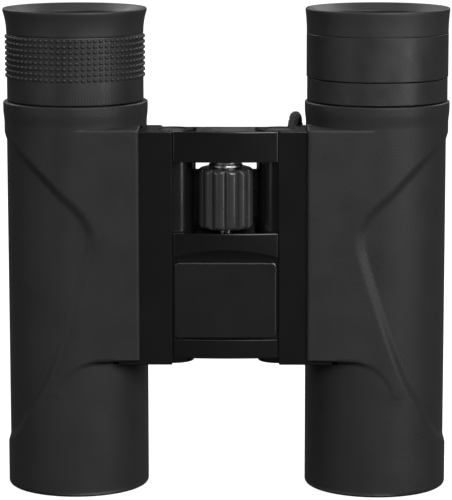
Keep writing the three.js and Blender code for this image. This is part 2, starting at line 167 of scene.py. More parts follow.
def grey(level, tint=0.0):
    return (level, level, level * (1 + tint))


FINISH = {
    "armour_rubber": surface("armour_rubber", grey(0.0155, 0.03), 0.48, mottle=0.1, mottle_scale=120,
                             Specular_IOR_Level=0.22,
                             grain=0.24, grain_scale=2600, pores=0.12),
    "eyecup_rubber": surface("eyecup_rubber", grey(0.016), 0.5, mottle=0.08, mottle_scale=160,
                              Specular_IOR_Level=0.3,
                             grain=0.3, grain_scale=3200),
    "ring_rubber": surface("ring_rubber", grey(0.016), 0.42, mottle=0.1, mottle_scale=200,
                           Specular_IOR_Level=0.3,
                           grain=0.25, grain_scale=3500),
    "satin_black": surface("satin_black", grey(0.006), 0.3, mottle=0.2, mottle_scale=150,
                           grain=0.12, grain_scale=4000),
    "gloss_black": surface("gloss_black", grey(0.0038), 0.2, mottle=0.2, mottle_scale=90,
                           Specular_IOR_Level=0.3,
                           grain=0.05, grain_scale=900, uneven=0.04),
    "plate_black": surface("plate_black", grey(0.006), 0.28, mottle=0.12, mottle_scale=110,
                           Specular_IOR_Level=0.35,
                           grain=0.06, grain_scale=5000, uneven=0.04),
    "wheel_grey": surface("wheel_grey", grey(0.022), 0.2, mottle=0.1, mottle_scale=300,
                          grain=0.1, grain_scale=4000),
    "aluminium": surface("aluminium", grey(0.5, 0.02), 0.28, metallic=1, mottle=0.05, rings=0.25),
    "black_metal": surface("black_metal", grey(0.012, 0.04), 0.35, metallic=0.3, mottle=0.1,
                           rings=0.2),
    "brass": surface("brass", (0.5, 0.34, 0.12), 0.3, metallic=1, mottle=0.08, rings=0.25),
    "steel": surface("steel", grey(0.42, 0.03), 0.26, metallic=1, mottle=0.06, rings=0.2),
    "cord": surface("cord", grey(0.009), 0.7, mottle=0.85, mottle_scale=1800,
                    grain=0.8, grain_scale=9000),
    "coated_glass": surface("coated_glass", (0.96, 0.98, 1.0), 0.02, mottle=0.01, uneven=0.01,
                            Transmission_Weight=1.0, IOR=1.52, Thin_Film_Thickness=140.0,
                            Thin_Film_IOR=1.38),
    "prism_glass": surface("prism_glass", (0.95, 0.97, 0.97), 0.04, mottle=0.01, uneven=0.02,
                           Transmission_Weight=1.0, IOR=1.57),
}


# ---- Mesh tools ----
def mesh_object(name, points, faces, sharp=38):
    """A smooth-shaded object of one closed mesh, in metres, with its faces turned outwards."""
    mesh = bpy.data.meshes.new(name)
    mesh.from_pydata([tuple(c * MM for c in p) for p in points], [], faces)
    work = bmesh.new()
    work.from_mesh(mesh)
    bmesh.ops.remove_doubles(work, verts=work.verts, dist=1e-7)
    bmesh.ops.recalc_face_normals(work, faces=work.faces)
    work.to_mesh(mesh)
    work.free()
    mesh.shade_smooth()
    mesh.set_sharp_from_angle(angle=math.radians(sharp))
    obj = bpy.data.objects.new(name, mesh)
    bpy.context.scene.collection.objects.link(obj)
    return obj


def loft(name, sections, ring=False, sharp=38):
    """Closed outlines with the same number of points, joined one to the next. A ring joins the
    last to the first, and otherwise both ends are capped."""
    count, total = len(sections[0]), len(sections)
    faces = []
    for i in range(total if ring else total - 1):
        j = (i + 1) % total
        for k in range(count):
            m = (k + 1) % count
            faces.append((i * count + k, i * count + m, j * count + m, j * count + k))
    if not ring:
        faces.append(tuple(reversed(range(count))))
        faces.append(tuple((total - 1) * count + k for k in range(count)))
    return mesh_object(name, [p for s in sections for p in s], faces, sharp)


def rounded(corners, steps=4):
    """The closed outline of (a, b, radius) corners, each turned by an arc of that radius."""
    outline = []
    for i, (a, b, radius) in enumerate(corners):
        corner = Vector((a, b))
        before = Vector(corners[i - 1][:2]) - corner
        after = Vector(corners[(i + 1) % len(corners)][:2]) - corner
        reach = (before.length, after.length)
        before.normalize()
        after.normalize()
        half = before.angle(after, math.pi) / 2
        if not radius:
            outline.append((a, b))
            continue
        run = min(radius / math.tan(half), 0.49 * min(reach))
        bisector = before + after
        centre = corner + bisector.normalized() * run / math.cos(half)
        start = corner + before * run - centre
        sweep = math.atan2(start.x * (after.y * run + corner.y - centre.y)
                           - start.y * (after.x * run + corner.x - centre.x),
                           start.dot(corner + after * run - centre))
        for k in range(steps + 1):
            turn = sweep * k / steps
            outline.append((centre.x + start.x * math.cos(turn) - start.y * math.sin(turn),
                            centre.y + start.x * math.sin(turn) + start.y * math.cos(turn)))
    return outline


def turned(name, corners, centre=(0, 0), segments=96, sharp=38):
    """A profile of (radius, height, corner radius) corners turned about a vertical axis."""
    profile = rounded(corners)
    angles = [2 * math.pi * k / segments for k in range(segments)]
    sections = [[(centre[0] + r * math.cos(a), centre[1] + r * math.sin(a), z)
                 for r, z in profile] for a in angles]
    return loft(name, sections, ring=True, sharp=sharp)


def box(name, xs, ys, zs):
    """A plain block, as a tool for cuts."""
    outline = [(xs[0], ys[0]), (xs[1], ys[0]), (xs[1], ys[1]), (xs[0], ys[1])]
    return loft(name, [[(x, y, z) for x, y in outline] for z in zs])


def drill(radius, zs, centre, segments=64):
    """A round rod, as a tool for cuts."""
    return turned("drill", [(0, zs[0], 0), (radius, zs[0], 0), (radius, zs[1], 0), (0, zs[1], 0)],
                  centre, segments)


def settle(obj, sharp=38):
    """Applies the modifiers to the mesh."""
    graph = bpy.context.evaluated_depsgraph_get()
    obj.data = bpy.data.meshes.new_from_object(obj.evaluated_get(graph))
    obj.modifiers.clear()
    obj.data.shade_smooth()
    obj.data.set_sharp_from_angle(angle=math.radians(sharp))
    return obj


def cut(obj, *tools):
    for tool in tools:
        modifier = obj.modifiers.new("cut", "BOOLEAN")
        modifier.solver = "EXACT"
        modifier.object = tool
    settle(obj)
    for tool in tools:
        bpy.data.objects.remove(tool)
    return obj


def joined(name, *objects):
    """Several objects as one."""
    with bpy.context.temp_override(active_object=objects[0], selected_editable_objects=list(objects)):
        bpy.ops.object.join()
    objects[0].name = name
    return objects[0]


def piece(obj, body, slot, *nodes):
    """Gives obj its finish and its body, in place of those CAD nodes."""
    even = obj.modifiers.new("even", "WEIGHTED_NORMAL")
    even.keep_sharp = True
    graph = bpy.context.evaluated_depsgraph_get()
    obj.data = bpy.data.meshes.new_from_object(obj.evaluated_get(graph))
    obj.modifiers.clear()
    obj.data.materials.clear()
    obj.data.materials.append(FINISH[slot])
    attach(obj, body)
    if nodes:
        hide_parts(*nodes)
    return obj


def keep(node, slot, edge=0.2):
    """A CAD node that stays, with softened edges and its finish."""
    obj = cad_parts[node]
    modifier = obj.modifiers.new("edge", "BEVEL")
    modifier.width = edge * MM
    modifier.segments = 2
    modifier.limit_method = "ANGLE"
    modifier.angle_limit = math.radians(40)
    modifier.harden_normals = False
    obj.data.materials.clear()
    obj.data.materials.append(FINISH[slot])


# ---- Strap loop: a round braid over the left lug, its ends in a ferrule ----
CORD_R = 1.2
LOOP_X = 16.5
LOOP_Y = 5.8
LOOP_BEND = 4.8
LOOP_LOW, LOOP_HIGH = 66.0, 79.8
FERRULE_Z = extent("loop_ferrule", Z)
LOOP_TWIST = math.radians(-9)  # how far the loop hangs turned about the lug


def loop_route():
    back = LOOP_Y + LOOP_BEND
    bends = [math.pi * k / 6 for k in range(7)]
    upper = [(LOOP_X, LOOP_Y + LOOP_BEND * math.cos(a), LOOP_HIGH + LOOP_BEND * math.sin(a))
             for a in bends]
    lower = [(LOOP_X, LOOP_Y - LOOP_BEND * math.cos(a), LOOP_LOW - LOOP_BEND * math.sin(a))
             for a in bends]
    front = (LOOP_X, LOOP_Y - LOOP_BEND, (LOOP_LOW + LOOP_HIGH) / 2)
    route = [(LOOP_X, back, FERRULE_Z[1] + GAP), *upper, front, *lower,
             (LOOP_X, back, FERRULE_Z[0] - GAP)]
    return [(x + (back - y) * math.sin(LOOP_TWIST), y, z) for x, y, z in route]


def smooth_path(points, steps):
    """A Catmull-Rom curve through the points."""
    p = np.array([points[0], *points, points[-1]], float)
    line = []
    for a, b, c, d in zip(p, p[1:], p[2:], p[3:]):
        for t in np.arange(steps) / steps:
            line.append(0.5 * (2 * b + (c - a) * t + (2 * a - 5 * b + 4 * c - d) * t ** 2
                               + (3 * b - a - 3 * c + d) * t ** 3))
    return np.array([*line, p[-1]])


BRAID_STRANDS = 8
BRAID_PITCH = 8.0
BRAID_RELIEF = 0.3


def braid(name, path, radius):
    """A tube along the path whose skin is two sets of strands that cross over and under."""
    run = np.concatenate([[0], np.cumsum(np.linalg.norm(np.diff(path, axis=0), axis=1))])
    sections = []
    for i, at in enumerate(path):
        along = path[min(i + 1, len(path) - 1)] - path[max(i - 1, 0)]
        along /= np.linalg.norm(along)
        side = np.array([1.0, 0, 0])
        up = np.cross(along, side)
        ring = []
        for k in range(48):
            angle = 2 * math.pi * k / 48
            right = BRAID_STRANDS * angle / (2 * math.pi) + BRAID_STRANDS * run[i] / BRAID_PITCH / 2
            left = BRAID_STRANDS * angle / (2 * math.pi) - BRAID_STRANDS * run[i] / BRAID_PITCH / 2
            over = 0.5 + 0.5 * math.sin(math.pi * left)
            height = max(abs(math.sin(math.pi * right)) * (0.55 + 0.45 * over),
                         abs(math.sin(math.pi * left)) * (1 - 0.45 * over))
            r = radius - BRAID_RELIEF * (1 - height)
            ring.append(at + r * (math.cos(angle) * side + math.sin(angle) * up))
        sections.append(ring)
    return loft(name, sections)


loop_line = smooth_path(loop_route(), 14)
loop = piece(braid("strap_loop_braid", loop_line, CORD_R), "left_barrel", "cord", "strap_loop")
ferrule_mid = sum(FERRULE_Z) / 2
ferrule = turned("crimped_ferrule", [
    (0, FERRULE_Z[0], 0), (1.9, FERRULE_Z[0], 0.3), (2.05, FERRULE_Z[0] + 1.5, 0.3),
    (1.75, ferrule_mid - 0.7, 0.4), (1.75, ferrule_mid + 0.7, 0.4),
    (2.05, FERRULE_Z[1] - 1.5, 0.3), (1.9, FERRULE_Z[1], 0.3), (0, FERRULE_Z[1], 0),
], (LOOP_X, LOOP_Y + LOOP_BEND), 48)
piece(ferrule, "left_barrel", "black_metal", "loop_ferrule")


# ---- Armour ----
# The recess on the barrel's outer side, as (angle from the outward direction, height).
RECESS = [(0, 82), (27, 81), (51, 77.2), (69, 73.2), (81, 70), (95, 66.4), (103, 63.4),
          (107, 60.6), (107, 57.4), (103.5, 53), (92, 42.6), (80, 33), (67, 25), (50, 18.2),
          (31, 12.6), (0, 9.5)]
RECESS_DEPTH = 0.5, 0.85  # at the barrel's side and towards the chevron's point
RECESS_EDGE = 1.75
PAD_CORNER = 0.6
PAD_CURL = 9.2  # radius by which the pad's lower edge curls down as it leaves the flat
LEG_STEP = 0.2  # how much thinner the leg is in front


def smoothstep(t):
    t = np.clip(t, 0, 1)
    return t * t * (3 - 2 * t)


def recess_edge():
    """The recess's edge in the skin's plane: (distance round the barrel, height)."""
    line = smooth_path([(a, z, 0) for a, z in RECESS], 24)[:, :2]
    return np.stack([np.radians(np.clip(line[:, 0], 0, None)) * ARMOUR_R, line[:, 1]], 1)


def pad_radius(theta, pad_x):
    """The flat pad's distance from the axis, theta from the front towards the hinge."""
    d = np.stack([np.sin(theta), -np.cos(theta)], -1)
    with np.errstate(divide="ignore"):
        front = ARMOUR_R / np.maximum(np.cos(theta), 1e-6)
        inner = pad_x / np.maximum(np.sin(theta), 1e-6)
    radius = np.minimum(front, inner)
    centre = np.array([pad_x - PAD_CORNER, -ARMOUR_R + PAD_CORNER])
    along = d @ centre
    inside = along ** 2 - centre @ centre + PAD_CORNER ** 2
    arc = along + np.sqrt(np.maximum(inside, 0))
    low = math.atan2(pad_x - PAD_CORNER, ARMOUR_R)
    high = math.atan2(pad_x, ARMOUR_R - PAD_CORNER)
    radius = np.where((theta > low) & (theta < high), arc, radius)
    return np.where((theta > 0) & (theta < math.pi / 2), np.maximum(radius, ARMOUR_R), ARMOUR_R)


def skin_radius(angle, z, edge, pad_x):
    """The armour's outer radius at an angle from the outward direction and a height."""
    front = angle - math.pi / 2
    along = min(max((0.35 - front) * ARMOUR_R, 0), 0.99 * PAD_CURL)
    foot = PAD_Z[0] - PAD_CURL + math.sqrt(PAD_CURL ** 2 - along ** 2)
    pad = smoothstep((z - foot + 0.6) / 1.2)
    leg = ARMOUR_R - LEG_STEP * float(smoothstep((front + 0.5) / 0.5))
    radius = leg + (pad_radius(front, pad_x) - leg) * pad
    round_way = abs(angle) * ARMOUR_R
    away = np.sqrt(((edge - [round_way, z]) ** 2).sum(1).min())
    reach = np.interp(z, edge[::-1, 1], edge[::-1, 0], left=-1, right=-1)
    if round_way >= reach:
        return radius
    slope = np.clip(away / RECESS_EDGE, 0, 1)
    side, point = RECESS_DEPTH
    depth = side + (point - side) * smoothstep((abs(angle) - 0.35) / 0.8)
    return radius - depth * (0.8 * slope + 0.2 * smoothstep(slope))


def armour(side):
    """The rubber skin, one closed shell, with the recess, the flat pad and the collar."""
    edge = recess_edge()
    pad_x = PAD_X[side]
    degrees = np.unique(np.round(np.concatenate([
        np.arange(-180, 180, 1.5), np.arange(128, 138, 0.5), np.arange(155, 161, 0.5)]), 3))
    heights = np.unique(np.round(np.concatenate([
        np.arange(0.8, 83.4, 0.45), PAD_Z[0] + np.arange(-0.3, 0.31, 0.1)]), 3))
    sections = []
    for angle in np.radians(degrees):
        skin = [(float(skin_radius(angle, z, edge, pad_x)), z) for z in heights]
        top = float(skin_radius(angle, PAD_Z[1], edge, pad_x))
        shelf = [(max(top - d, ARMOUR_R), PAD_Z[1] - up)
                 for d, up in ((0, 0.4), (0.05, 0.2), (0.2, 0.06), (0.4, 0))]
        shelf.append((ARMOUR_R, PAD_Z[1] + 0.02))
        collar = [(ARMOUR_R + (COLLAR_R - ARMOUR_R) * float(smoothstep(t)),
                   PAD_Z[1] + 0.1 + 3.2 * t) for t in np.linspace(0.1, 1, 8)]
        rim = [(COLLAR_R - 0.3 + 0.3 * math.cos(t), ARMOUR_TOP - 0.3 + 0.3 * math.sin(t))
               for t in np.radians([0, 30, 60, 90])]
        inside = [(TUBE_OUTER + GAP, ARMOUR_TOP), (TUBE_OUTER + GAP, 1.9), (13.2, 1.9),
                  (13.2, 0.3), (13.45, 0)]
        foot = [(ARMOUR_R - 0.8 + 0.8 * math.sin(t), 0.8 - 0.8 * math.cos(t))
                for t in np.radians([0, 22, 45, 68])]
        profile = [*skin, *shelf, *collar, *rim, *inside, *foot]
        sections.append([(side * (BARREL_X + r * math.cos(angle)), -r * math.sin(angle), z)
                         for r, z in profile])
    return loft(f"{'left' if side > 0 else 'right'}_armour_skin", sections, ring=True, sharp=34)


CHAMFER = 0.26, 0.125  # across and deep, for the thin bright edges of the bridge's front
KNUCKLE_R = 4.8
ARM_BACK_Y = -4.2
ARM_FRONT_Y = extent("left_barrel_housing", Y)[0]
EYE_SLOT_Z = 42.5, 48.8


def arm_slot(side):
    """The cut through which the focus arm reaches the hinge axis."""
    hinge = Vector((side * HINGE_X, HINGE_Y))
    axis = Vector((side * BARREL_X, 0))
    way = (hinge - axis).normalized()
    across = Vector((-way.y, way.x)) * 1.5
    near, far = axis + way * 8, hinge
    outline = [near - across, far - across, far + across, near + across]
    return loft("slot", [[(p.x, p.y, z) for p in outline] for z in EYE_SLOT_Z])


for name, side in SIDES.items():
    skin = cut(
        armour(side),
        box("notch", sorted(side * (BARREL_X - x) for x in (9, 20)),
            (ARM_FRONT_Y - GAP, ARM_BACK_Y + GAP), (ARM_Z[0] - GAP, ARM_Z[1] + GAP)),
        arm_slot(side),
        box("lug_notch", sorted(side * (BARREL_X - x) for x in (12, 20)),
            (4.0, 7.6), (79.3, 82.8)),
    )
    piece(skin, f"{name}_barrel", "armour_rubber", f"{name}_armour")


# ---- Barrel housings, with the hinge arms ----
JOINT_Z = 37.5, 57.2
JOINT_R = 4.0
LIP = 1.6


def arc(radius, start, end, steps):
    """Points about the hinge axis, at angles from the bridge's direction."""
    return [(radius * math.cos(t), HINGE_Y + radius * math.sin(t))
            for t in np.linspace(start, end, steps)]


LIP_TURN = math.asin(LIP / KNUCKLE_R) - math.pi / 2


def strip_front(drawn):
    """The arm's flat front, with a chamfer beside the cover."""
    front = ARM_FRONT_Y + drawn
    return [(-12, front), (-drawn - CHAMFER[0], front), (-drawn, front + CHAMFER[1]),
            (-drawn, front + 1)]


def knuckle_outline(drawn):
    """The arm's section where it goes all round the hinge axis."""
    radius = KNUCKLE_R - drawn
    back = math.pi - math.asin((ARM_BACK_Y - drawn - HINGE_Y) / radius)
    return [*strip_front(drawn), *arc(radius, -math.pi / 2, LIP_TURN, 9),
            *arc(radius, LIP_TURN, back, 41)[1:], (-12, ARM_BACK_Y - drawn)]


def open_outline():
    """Its section between the knuckles, hollowed about the hinge axis and open to the bridge."""
    inner = arc(JOINT_R, math.asin(LIP / JOINT_R) - math.pi / 2, -1.5 * math.pi, 39)
    return [*strip_front(0), *arc(KNUCKLE_R, -math.pi / 2, LIP_TURN, 9), *inner,
            (0, ARM_BACK_Y), (-12, ARM_BACK_Y)]


def hinge_arm(side):
    """The arm from the barrel to the hinge, its end rounded about the hinge axis."""
    edge = [(CHAMFER[1], 0), (0, CHAMFER[0])]
    levels = [(knuckle_outline(drawn), ARM_Z[0] + up) for drawn, up in edge]
    levels += [(knuckle_outline(0), JOINT_Z[0]), (open_outline(), JOINT_Z[0]),
               (open_outline(), JOINT_Z[1]), (knuckle_outline(0), JOINT_Z[1])]
    levels += [(knuckle_outline(drawn), ARM_Z[1] - up) for drawn, up in reversed(edge)]
    arm = loft("arm", [[(side * (HINGE_X - x), y, z) for x, y in outline]
                       for outline, z in levels])
    hinge = (side * HINGE_X, HINGE_Y)
    return cut(arm, arm_slot(side), drill(3.1, (ARM_Z[1] - 1.2, 90), hinge),
               drill(3.1, (20, ARM_Z[0] + 1.2), hinge), drill(2.0, (25, 90), hinge))


for name, side in SIDES.items():
    axis = (side * BARREL_X, 0)
    tube = turned("tube", [
        (TUBE_INNER, 2.2, 0), (TUBE_OUTER, 2.2, 0.2), (TUBE_OUTER, 88.6, 0.2), (12.9, 88.6, 0.2),
        (12.9, 80, 0), (TUBE_INNER, 80, 0),
    ], axis)
    tube = cut(tube, arm_slot(side))
    shell = joined(f"{name}_housing_shell", hinge_arm(side), tube)
    piece(shell, f"{name}_barrel", "gloss_black", f"{name}_barrel_housing")

    lug_x = extent(f"{name}_strap_lug", X)
    lug_y = extent(f"{name}_strap_lug", Y)
    lug_z = extent(f"{name}_strap_lug", Z)
    outline = rounded([(lug_y[0], lug_z[0], 0.9), (lug_y[1], lug_z[0], 0.9),
                       (lug_y[1], lug_z[1], 0.9), (lug_y[0], lug_z[1], 0.9)])
    ends = [(lug_x[0], 0.6), (lug_x[0] + 0.25, 0.85), (lug_x[0] + 0.7, 1), (lug_x[1] - 0.7, 1),
            (lug_x[1] - 0.25, 0.85), (lug_x[1], 0.6)]
    mid_y, mid_z = sum(lug_y) / 2, sum(lug_z) / 2
    bar = loft(f"{name}_lug_bar", [[(x, mid_y + (y - mid_y) * s, mid_z + (z - mid_z) * s)
                                    for y, z in outline] for x, s in ends])
    piece(bar, f"{name}_barrel", "satin_black", f"{name}_strap_lug")


# ---- Optics ----
def lens(name, radius, rims, bulges, centre):
    """A lens whose faces have their rims at two heights and rise by two bulges."""
    share = np.linspace(0, 1, 12)
    lower = [(radius * t, rims[0] - bulges[0] * (1 - t * t), 0) for t in share]
    upper = [(radius * t, rims[1] + bulges[1] * (1 - t * t), 0) for t in share[::-1]]
    return turned(name, [*lower, *upper], centre, sharp=60)


CUP_R = {"right": 15.55, "left": 16.05}  # at the foot of each eyecup

for name, side in SIDES.items():
    axis = (side * BARREL_X, 0)
    barrel, objective = f"{name}_barrel", f"{name}_objective"
    eyepiece = "right_eyepiece" if name == "right" else "left_barrel"

    cell = turned(f"{name}_objective_mount", [
        (13.2, 4.6, 0.15), (13.75, 4.6, 0.15), (13.75, 20, 0.2), (12.4, 20, 0.1), (12.4, 19, 0.1),
        (12.7, 18.6, 0), (12.4, 18.2, 0), (12.7, 17.8, 0), (12.4, 17.4, 0), (12.4, 15.4, 0),
        (13.2, 15.4, 0),
    ], axis)
    piece(cell, objective, "black_metal", f"{name}_objective_cell")
    retainer = turned(f"{name}_objective_retainer", [
        (12.3, 5.6, 0.1), (12.9, 5.6, 0.1), (12.9, 7.6, 0.1), (12.5, 7.6, 0), (12.3, 7.2, 0),
    ], axis)
    piece(retainer, objective, "black_metal", f"{name}_objective_ring")
    piece(lens(f"{name}_front_lens", 12.9, (8.2, 10.4), (1.2, 1.8), axis), objective,
          "coated_glass", f"{name}_objective_crown")
    piece(lens(f"{name}_rear_lens", 12.9, (10.7, 15.0), (-1.8, -0.4), axis), objective,
          "coated_glass", f"{name}_objective_flint")

    ocular = turned(f"{name}_ocular_tube", [
        (11.3, 81, 0.1), (12.7, 81, 0.2), (12.7, 105.5, 0.35), (10, 105.5, 0.3), (10, 105.1, 0.1),
        (10.35, 104.3, 0), (11.3, 104.3, 0), (11.3, 98, 0), (10, 98, 0), (10, 92, 0), (11.3, 92, 0),
    ], axis)
    piece(ocular, eyepiece, "black_metal", f"{name}_eyepiece_tube")
    piece(lens(f"{name}_inner_lens", 11, (86.5, 89.5), (0, 2.2), axis), eyepiece,
          "coated_glass", f"{name}_field_lens")
    piece(lens(f"{name}_outer_lens", 11, (98.6, 101.6), (0, 1.9), axis), eyepiece,
          "coated_glass", f"{name}_eye_lens")

    low, high = CUP_R[name], 16.35
    flare = [(low + (high - low) * t * t, 104.45 + 4.95 * t, 0) for t in np.linspace(0.1, 1, 9)]
    cup = turned(f"{name}_soft_eyecup", [
        (13.05, 104.36, 0.1), (low, 104.36, 0.06), *flare, (16.32, 110, 0.45),
        (15.6, 109.95, 0.3), (12.9, 108.25, 0.3), (13.4, 107.4, 0.3), (14.3, 105.6, 0.3), (13.1, 105.2, 0.1),
    ], axis, segments=128)
    piece(cup, "diopter_ring" if name == "right" else "left_barrel", "eyecup_rubber",
          f"{name}_eyecup")
    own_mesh(cup)

    for part, slot in (("prism_cage", "black_metal"), ("half_penta_prism", "prism_glass"),
                       ("roof_prism", "prism_glass"), ("field_stop", "black_metal"),
                       ("focus_arm", "steel")):
        keep(f"{name}_{part}", slot, 0.15)


# ---- Eyepiece rings ----
RING_LOW, RING_TOP = extent("diopter_ring", Z)
RING_R = extent("diopter_ring", X)[1] - middle("diopter_ring", X)
NUB_ROWS = 8
NUBS_ROUND = 70
NUB_HEIGHT = 0.38
NUB_LOW = 94.2


def nub_ring(name, centre):
    """The diopter ring: a smooth band below, and rows of raised nubs above it."""
    base = RING_R - NUB_HEIGHT
    pitch = (RING_TOP - 0.1 - NUB_LOW) / NUB_ROWS
    across = [(0.0, 0), (0.2, 0), (0.25, 0.7), (0.33, 1), (0.5, 1), (0.67, 1), (0.75, 0.7),
              (0.8, 0)]
    rows = [(NUB_LOW + pitch * (row + t), rise) for row in range(NUB_ROWS) for t, rise in across]
    sections = []
    for nub in range(NUBS_ROUND):
        for t, rise in across:
            angle = 2 * math.pi * (nub + t) / NUBS_ROUND
            wall = [(base + NUB_HEIGHT * min(rise * up, 1), z) for z, up in rows]
            profile = [(13.0, RING_LOW), (base - 0.1, RING_LOW), (base, RING_LOW + 0.12),
                       (base, NUB_LOW - 0.15), *wall,
                       (base, RING_TOP - 0.15), (base - 0.15, RING_TOP), (13.0, RING_TOP)]
            sections.append([(centre[0] + r * math.cos(angle), centre[1] + r * math.sin(angle), z)
                             for r, z in profile])
    return loft(name, sections, ring=True, sharp=50)


piece(nub_ring("diopter_ring_nubs", (-BARREL_X, 0)), "diopter_ring", "ring_rubber", "diopter_ring")
collar_z = extent("eyepiece_collar", Z)
collar = turned("smooth_collar", [
    (13, collar_z[0], 0), (15.95, collar_z[0], 0.15), (15.95, collar_z[1] + 0.12, 0.1),
    (13, collar_z[1] + 0.12, 0)], (BARREL_X, 0), 128)
piece(collar, "left_barrel", "ring_rubber", "eyepiece_collar")
ring_z = extent("eyepiece_ring", Z)
band = turned("smooth_ring", [
    (13, ring_z[0], 0), (16.08, ring_z[0], 0.2), (16.08, ring_z[1], 0.12), (13, ring_z[1], 0),
], (BARREL_X, 0), 128)
piece(band, "left_barrel", "ring_rubber", "eyepiece_ring")


# ---- Bridge covers and plate ----
COVER_X = extent("upper_cover", X)[1]
CROWN_Y = extent("upper_cover", Y)[0]
CROWN_SAG = 1.0
COVER_BACK_Y = extent("upper_cover", Y)[1]
PLATE_Z = extent("name_plate", Z)
PLATE_Y = extent("name_plate", Y)


def crown(x):
    radius = (COVER_X ** 2 + CROWN_SAG ** 2) / (2 * CROWN_SAG)
    return CROWN_Y + radius - math.sqrt(radius ** 2 - x ** 2)


def across_cover():
    """Places across a cover, with how far its chamfered ends have drawn in there."""
    ends = [(COVER_X - CHAMFER[0], 0), (COVER_X, CHAMFER[1])]
    inner = [(x, 0) for x in np.linspace(-COVER_X + 0.9, COVER_X - 0.9, 33)]
    return [*((-x, e) for x, e in reversed(ends)), *inner, *ends]


def cover(name, outline_at):
    sections = [[(x, y, z) for y, z in rounded(outline_at(x, e))] for x, e in across_cover()]
    return loft(name, sections, sharp=30)


def upper_outline(x, drawn):
    low, high = extent("upper_cover", Z)
    front = crown(x) + drawn
    return [(COVER_BACK_Y, low, 0), (front, low, 0.1), (front, high - CHAMFER[0], 0),
            (front + CHAMFER[1], high, 0), (COVER_BACK_Y, high, 0)]


SLOPE_TOP = 57.1


def lower_outline(x, drawn):
    low, high = extent("lower_cover", Z)
    front = crown(x) + drawn
    seat = PLATE_Y[1] + GAP
    seat_low, seat_high = PLATE_Z[0] - GAP, PLATE_Z[1] + GAP
    arch = seat_high + (seat - front) * (SLOPE_TOP - seat_high) / (seat - CROWN_Y + 0.1)
    return [(COVER_BACK_Y, low, 0), (front, low, 0.3), (front, seat_low, 0.15),
            (seat, seat_low, 0), (seat, seat_high, 0), (front, arch, 0.25),
            (front, high - CHAMFER[0], 0), (front + CHAMFER[1], high, 0), (COVER_BACK_Y, high, 0)]


piece(cover("upper_crown", upper_outline), "bridge", "gloss_black", "upper_cover")
piece(cover("lower_crown", lower_outline), "bridge", "gloss_black", "lower_cover")

plate_x = extent("name_plate", X)


def plate_outline(drawn):
    radius = 0.8
    corners = [(plate_x[0] + drawn, PLATE_Z[0] + drawn), (plate_x[1] - drawn, PLATE_Z[0] + drawn),
               (plate_x[1] - drawn, PLATE_Z[1] - drawn), (plate_x[0] + drawn, PLATE_Z[1] - drawn)]
    return rounded([(x, z, radius - drawn) for x, z in corners], 6)


levels = [(PLATE_Y[1], 0), (PLATE_Y[0] + CHAMFER[1], 0), (PLATE_Y[0], CHAMFER[0])]
plate = loft("blank_plate", [[(x, y, z) for x, z in plate_outline(d)] for y, d in levels], sharp=20)
piece(plate, "bridge", "plate_black", "name_plate")


# ---- Focus wheel ----
WHEEL_R = extent("focus_wheel", X)[1]
WHEEL_Z = extent("focus_wheel", Z)
RIDGES = 12
FLUTE_DEPTH = 0.75


def wheel_outline(drawn):
    points = []
    for k in range(RIDGES * 20):
        angle = 2 * math.pi * k / (RIDGES * 20)
        ridge = abs(math.sin(angle * RIDGES / 2)) ** 0.6
        radius = min(WHEEL_R - FLUTE_DEPTH * (1 - ridge), WHEEL_R - drawn)
        points.append((radius * math.sin(angle), SPINDLE_Y - radius * math.cos(angle)))
    return points


wheel_ends = [(0, 0.95), (0.12, 0.6), (0.35, 0.3), (0.7, 0.08), (1.0, 0)]
wheel_levels = [(WHEEL_Z[0] + z, d) for z, d in wheel_ends]
wheel_levels += [(WHEEL_Z[1] - z, d) for z, d in reversed(wheel_ends)]
wheel = loft("ridged_wheel", [[(x, y, z) for x, y in wheel_outline(d)] for z, d in wheel_levels],
             sharp=50)
wheel = cut(wheel, drill(3.1, (WHEEL_Z[0] - 1, WHEEL_Z[1] + 1), (0, SPINDLE_Y)))
piece(wheel, "focus_wheel", "wheel_grey", "focus_wheel")

HUB_TOP = extent("wheel_hub", Z)[1]
hub = turned("wheel_hub_turned", [
    (1.95, WHEEL_Z[0], 0), (3, WHEEL_Z[0], 0.1), (3, WHEEL_Z[1] + 0.2, 0),
    (3.85, WHEEL_Z[1] + 0.2, 0.1), (3.85, WHEEL_Z[1] + 0.75, 0.1), (3.3, WHEEL_Z[1] + 0.95, 0.1),
    (3.3, HUB_TOP - 0.45, 0.1), (3.6, HUB_TOP - 0.3, 0.05), (3.6, HUB_TOP, 0.1), (1.95, HUB_TOP, 0),
], (0, SPINDLE_Y))
piece(hub, "focus_wheel", "aluminium", "wheel_hub")

SPINDLE_Z = extent("focus_spindle", Z)
thread = [(1.85 if k % 2 else 1.6, z, 0) for k, z in enumerate(np.arange(SPINDLE_Z[0] + 0.4, 57, 0.3))]
spindle = turned("threaded_spindle", [
    (0, SPINDLE_Z[0], 0), (1.5, SPINDLE_Z[0], 0.1), *thread, (1.85, SPINDLE_Z[1], 0.2),
    (0, SPINDLE_Z[1], 0)], (0, SPINDLE_Y), 48, sharp=25)
piece(spindle, "focus_wheel", "steel", "focus_spindle")

for which in ("upper", "lower"):
    low, high = extent(f"{which}_wheel_bush", Z)
    bush = turned(f"{which}_bush_turned", [
        (1.95, low, 0.1), (3.2, low, 0.25), (3.2, high, 0.25), (1.95, high, 0.1)],
        (0, SPINDLE_Y), 64)
    piece(bush, "bridge", "brass", f"{which}_wheel_bush")


